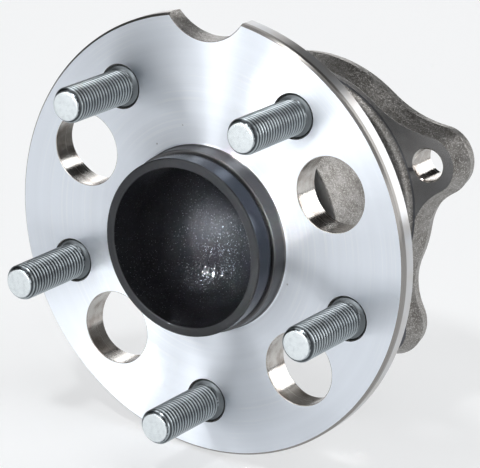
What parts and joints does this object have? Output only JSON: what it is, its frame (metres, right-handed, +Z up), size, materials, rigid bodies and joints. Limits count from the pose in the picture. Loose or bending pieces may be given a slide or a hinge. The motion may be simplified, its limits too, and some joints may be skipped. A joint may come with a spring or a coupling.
{
  "type": "wheel hub bearing",
  "caption": "Wheel hub with a flanged double-row ball bearing, wheel studs, a closed hollow nose, a mounting flange and a speed sensor.",
  "frame": {"origin": "centre of the wheel mounting face, on the axle's axis", "axes": "-Y points outboard, the way the wheel comes off; +Y points inboard, into the knuckle; +Z is up"},
  "size_m": [0.15, 0.1346, 0.1496],
  "materials": {
    "turned_steel": "bright turned carbon steel",
    "zinc_steel": "bright zinc plate",
    "bearing_steel": "ground and honed",
    "nut_steel": "dark phosphate",
    "carrier_steel": "pressed sheet",
    "magnet_rubber": "matte, magnetised",
    "forged_steel": "shot blasted forging, machined faces",
    "seal_steel": "pressed sheet",
    "seal_rubber": "matte",
    "cap_steel": "zinc plated pressing",
    "sensor_plastic": "moulded",
    "terminal_brass": "tinned blade",
    "cage_nylon": "glass filled, natural"
  },
  "bodies": {
    "fixed_ring": {"outer_ring": "forged_steel", "seal_case": "seal_steel", "seal_lips": "seal_rubber", "end_cap": "cap_steel", "sensor_body": "sensor_plastic", "sensor_terminals": "terminal_brass"},
    "hub": {"hub_spindle": "turned_steel", "wheel_stud_1": "zinc_steel", "wheel_stud_2": "zinc_steel", "wheel_stud_3": "zinc_steel", "wheel_stud_4": "zinc_steel", "wheel_stud_5": "zinc_steel", "inner_ring": "bearing_steel", "spindle_nut": "nut_steel", "sensor_ring_carrier": "carrier_steel", "sensor_ring_magnet": "magnet_rubber"},
    "outboard_row": {"cage_outboard": "cage_nylon", "ball_outboard_01": "bearing_steel", "ball_outboard_02": "bearing_steel", "ball_outboard_03": "bearing_steel", "ball_outboard_04": "bearing_steel", "ball_outboard_05": "bearing_steel", "ball_outboard_06": "bearing_steel", "ball_outboard_07": "bearing_steel", "ball_outboard_08": "bearing_steel", "ball_outboard_09": "bearing_steel", "ball_outboard_10": "bearing_steel", "ball_outboard_11": "bearing_steel", "ball_outboard_12": "bearing_steel", "ball_outboard_13": "bearing_steel"},
    "inboard_row": {"cage_inboard": "cage_nylon", "ball_inboard_01": "bearing_steel", "ball_inboard_02": "bearing_steel", "ball_inboard_03": "bearing_steel", "ball_inboard_04": "bearing_steel", "ball_inboard_05": "bearing_steel", "ball_inboard_06": "bearing_steel", "ball_inboard_07": "bearing_steel", "ball_inboard_08": "bearing_steel", "ball_inboard_09": "bearing_steel", "ball_inboard_10": "bearing_steel", "ball_inboard_11": "bearing_steel", "ball_inboard_12": "bearing_steel", "ball_inboard_13": "bearing_steel"}
  },
  "joints": [
    {"name": "hub_spin", "type": "hinge", "parent": "fixed_ring", "child": "hub", "pos_m": [0, 0, 0], "axis": [0, 1, 0], "continuous": true},
    {"name": "outboard_row_spin", "type": "hinge", "parent": "fixed_ring", "child": "outboard_row", "pos_m": [0, 0.027, 0], "axis": [0, 1, 0], "continuous": true},
    {"name": "inboard_row_spin", "type": "hinge", "parent": "fixed_ring", "child": "inboard_row", "pos_m": [0, 0.054, 0], "axis": [0, 1, 0], "continuous": true}
  ],
  "couplings": [
    {"joint": "outboard_row_spin", "follows": "hub_spin", "ratio": 0.4264},
    {"joint": "inboard_row_spin", "follows": "hub_spin", "ratio": 0.4264}
  ]
}
